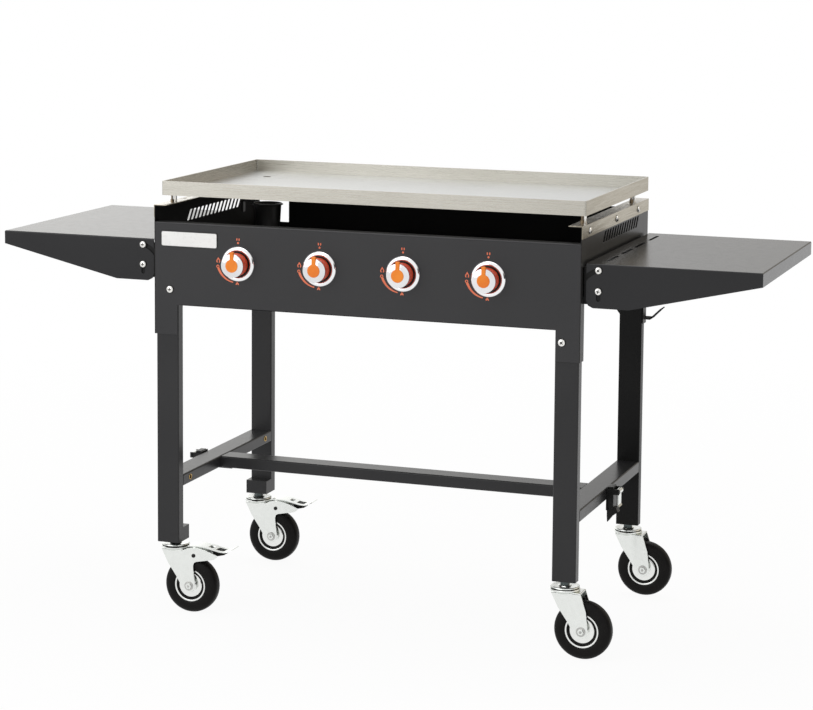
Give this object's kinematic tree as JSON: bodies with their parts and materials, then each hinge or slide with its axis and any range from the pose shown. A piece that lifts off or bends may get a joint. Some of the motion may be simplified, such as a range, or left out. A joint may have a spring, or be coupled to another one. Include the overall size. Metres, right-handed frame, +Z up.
{
  "type": "outdoor gas griddle station",
  "caption": "Rolling outdoor gas griddle station with a flat steel plate, gas controls on the front panel, folding side shelves, a braced leg frame and swivel casters.",
  "frame": {"origin": "on the floor, under the middle of the whole object's box, which is also the middle of the body", "axes": "+Z up, +X to the user's right along the shelves, the user stands at -Y and faces +Y"},
  "size_m": [1.652, 0.606, 0.925],
  "materials": {
    "black_coat": "satin powder coat",
    "frame_coat": "satin powder coat",
    "trim_steel": "brushed",
    "plate_steel": "ground steel",
    "screw_zinc": "zinc plated",
    "burner_steel": "stainless",
    "brass": "plain",
    "bezel_chrome": "polished",
    "knob_silver": "silver lacquer",
    "stem_steel": "turned",
    "cup_black": "satin",
    "ceramic": "glazed ceramic",
    "fork_zinc": "bright zinc plating",
    "rim_steel": "pressed steel",
    "tyre_rubber": "moulded rubber",
    "latch_black": "satin"
  },
  "bodies": {
    "root": {"front_panel": "black_coat", "rear_panel": "black_coat", "side_panel_right": "black_coat", "side_panel_left": "black_coat", "side_trims": "trim_steel", "trim_screws": "screw_zinc", "burners": "burner_steel", "burner_rails": "burner_steel", "manifold": "burner_steel", "gas_valves": "brass", "igniters": "ceramic", "gas_inlet": "brass", "knob_bezels": "bezel_chrome", "cup_bracket": "black_coat", "shelf_bracket_right": "black_coat", "shelf_bracket_left": "black_coat", "shelf_hook_bolts": "screw_zinc", "leg_front_left": "frame_coat", "leg_front_right": "frame_coat", "leg_rear_left": "frame_coat", "leg_rear_right": "frame_coat", "leg_bolts": "screw_zinc", "crossbar_left": "frame_coat", "crossbar_right": "frame_coat", "latch_bases": "latch_black", "rear_cradle": "latch_black", "caster_stems": "fork_zinc"},
    "plate": {"griddle_plate": "plate_steel", "plate_feet": "screw_zinc"},
    "cup": {"grease_cup": "cup_black"},
    "stretcher": {"stretcher": "frame_coat"},
    "stem_1": {"valve_stem_1": "stem_steel"},
    "knob_1": {"knob_1": "knob_silver"},
    "stem_2": {"valve_stem_2": "stem_steel"},
    "knob_2": {"knob_2": "knob_silver"},
    "stem_3": {"valve_stem_3": "stem_steel"},
    "knob_3": {"knob_3": "knob_silver"},
    "stem_4": {"valve_stem_4": "stem_steel"},
    "knob_4": {"knob_4": "knob_silver"},
    "shelf_pivot_left": {"shelf_pivot_bolts_left": "screw_zinc"},
    "shelf_left": {"shelf_left": "black_coat"},
    "lever_left": {"latch_lever_left": "fork_zinc"},
    "shelf_pivot_right": {"shelf_pivot_bolts_right": "screw_zinc"},
    "shelf_right": {"shelf_right": "black_coat"},
    "lever_right": {"latch_lever_right": "fork_zinc"},
    "swivel_front_left": {"fork_front_left": "fork_zinc"},
    "wheel_front_left": {"rim_front_left": "rim_steel", "tyre_front_left": "tyre_rubber"},
    "pedal_front_left": {"pedal_front_left": "fork_zinc"},
    "swivel_rear_left": {"fork_rear_left": "fork_zinc"},
    "wheel_rear_left": {"rim_rear_left": "rim_steel", "tyre_rear_left": "tyre_rubber"},
    "pedal_rear_left": {"pedal_rear_left": "fork_zinc"},
    "swivel_front_right": {"fork_front_right": "fork_zinc"},
    "wheel_front_right": {"rim_front_right": "rim_steel", "tyre_front_right": "tyre_rubber"},
    "swivel_rear_right": {"fork_rear_right": "fork_zinc"},
    "wheel_rear_right": {"rim_rear_right": "rim_steel", "tyre_rear_right": "tyre_rubber"}
  },
  "joints": [
    {"name": "plate_lift", "type": "slide", "parent": "root", "child": "plate", "axis": [0, 0, 1], "range_m": [0, 0.12]},
    {"name": "cup_lift", "type": "slide", "parent": "root", "child": "cup", "axis": [0, 0, 1], "range_m": [0, 0.04]},
    {"name": "stretcher_lift", "type": "slide", "parent": "root", "child": "stretcher", "axis": [0, 0, 1], "range_m": [0, 0.06]},
    {"name": "knob_1_turn", "type": "hinge", "parent": "root", "child": "stem_1", "pos_m": [-0.273, -0.266, 0.763], "axis": [0, -1, 0], "range_deg": [0, 180]},
    {"name": "knob_1_push", "type": "slide", "parent": "stem_1", "child": "knob_1", "axis": [0, 1, 0], "range_m": [0, 0.003], "stiffness_N_per_m": 900},
    {"name": "knob_2_turn", "type": "hinge", "parent": "root", "child": "stem_2", "pos_m": [-0.091, -0.266, 0.763], "axis": [0, -1, 0], "range_deg": [0, 180]},
    {"name": "knob_2_push", "type": "slide", "parent": "stem_2", "child": "knob_2", "axis": [0, 1, 0], "range_m": [0, 0.003], "stiffness_N_per_m": 900},
    {"name": "knob_3_turn", "type": "hinge", "parent": "root", "child": "stem_3", "pos_m": [0.091, -0.266, 0.763], "axis": [0, -1, 0], "range_deg": [0, 180]},
    {"name": "knob_3_push", "type": "slide", "parent": "stem_3", "child": "knob_3", "axis": [0, 1, 0], "range_m": [0, 0.003], "stiffness_N_per_m": 900},
    {"name": "knob_4_turn", "type": "hinge", "parent": "root", "child": "stem_4", "pos_m": [0.273, -0.266, 0.763], "axis": [0, -1, 0], "range_deg": [0, 180]},
    {"name": "knob_4_push", "type": "slide", "parent": "stem_4", "child": "knob_4", "axis": [0, 1, 0], "range_m": [0, 0.003], "stiffness_N_per_m": 900},
    {"name": "shelf_left_fold", "type": "hinge", "parent": "root", "child": "shelf_pivot_left", "pos_m": [-0.497, 0, 0.749], "axis": [0, -1, 0], "range_deg": [0, 90]},
    {"name": "shelf_left_lift", "type": "slide", "parent": "shelf_pivot_left", "child": "shelf_left", "axis": [0, 0, 1], "range_m": [0, 0.016]},
    {"name": "latch_lever_left_swing", "type": "hinge", "parent": "root", "child": "lever_left", "pos_m": [-0.48605, -0.02, 0.294], "axis": [0, 1, 0], "range_deg": [0, 95]},
    {"name": "shelf_right_fold", "type": "hinge", "parent": "root", "child": "shelf_pivot_right", "pos_m": [0.497, 0, 0.749], "axis": [0, 1, 0], "range_deg": [0, 90]},
    {"name": "shelf_right_lift", "type": "slide", "parent": "shelf_pivot_right", "child": "shelf_right", "axis": [0, 0, 1], "range_m": [0, 0.016]},
    {"name": "latch_lever_right_swing", "type": "hinge", "parent": "root", "child": "lever_right", "pos_m": [0.48605, -0.02, 0.294], "axis": [0, -1, 0], "range_deg": [0, 95]},
    {"name": "caster_front_left_swivel", "type": "hinge", "parent": "root", "child": "swivel_front_left", "pos_m": [-0.437, -0.2245, 0.14], "axis": [0, 0, 1], "continuous": true},
    {"name": "caster_front_left_roll", "type": "hinge", "parent": "swivel_front_left", "child": "wheel_front_left", "pos_m": [-0.397, -0.2245, 0.06], "axis": [0, 1, 0], "continuous": true},
    {"name": "pedal_front_left_press", "type": "hinge", "parent": "swivel_front_left", "child": "pedal_front_left", "pos_m": [-0.386, -0.2245, 0.127], "axis": [0, 1, 0], "range_deg": [0, 9]},
    {"name": "caster_rear_left_swivel", "type": "hinge", "parent": "root", "child": "swivel_rear_left", "pos_m": [-0.437, 0.2245, 0.14], "axis": [0, 0, 1], "continuous": true},
    {"name": "caster_rear_left_roll", "type": "hinge", "parent": "swivel_rear_left", "child": "wheel_rear_left", "pos_m": [-0.397, 0.2245, 0.06], "axis": [0, 1, 0], "continuous": true},
    {"name": "pedal_rear_left_press", "type": "hinge", "parent": "swivel_rear_left", "child": "pedal_rear_left", "pos_m": [-0.386, 0.2245, 0.127], "axis": [0, 1, 0], "range_deg": [0, 9]},
    {"name": "caster_front_right_swivel", "type": "hinge", "parent": "root", "child": "swivel_front_right", "pos_m": [0.437, -0.2505, 0.14], "axis": [0, 0, 1], "continuous": true},
    {"name": "caster_front_right_roll", "type": "hinge", "parent": "swivel_front_right", "child": "wheel_front_right", "pos_m": [0.477, -0.2505, 0.06], "axis": [0, 1, 0], "continuous": true},
    {"name": "caster_rear_right_swivel", "type": "hinge", "parent": "root", "child": "swivel_rear_right", "pos_m": [0.437, 0.2505, 0.14], "axis": [0, 0, 1], "continuous": true},
    {"name": "caster_rear_right_roll", "type": "hinge", "parent": "swivel_rear_right", "child": "wheel_rear_right", "pos_m": [0.477, 0.2505, 0.06], "axis": [0, 1, 0], "continuous": true}
  ],
  "couplings": [
    {"joint": "shelf_left_lift", "follows": "shelf_left_fold", "m_per_rad": 0.010186},
    {"joint": "shelf_right_lift", "follows": "shelf_right_fold", "m_per_rad": 0.010186}
  ]
}
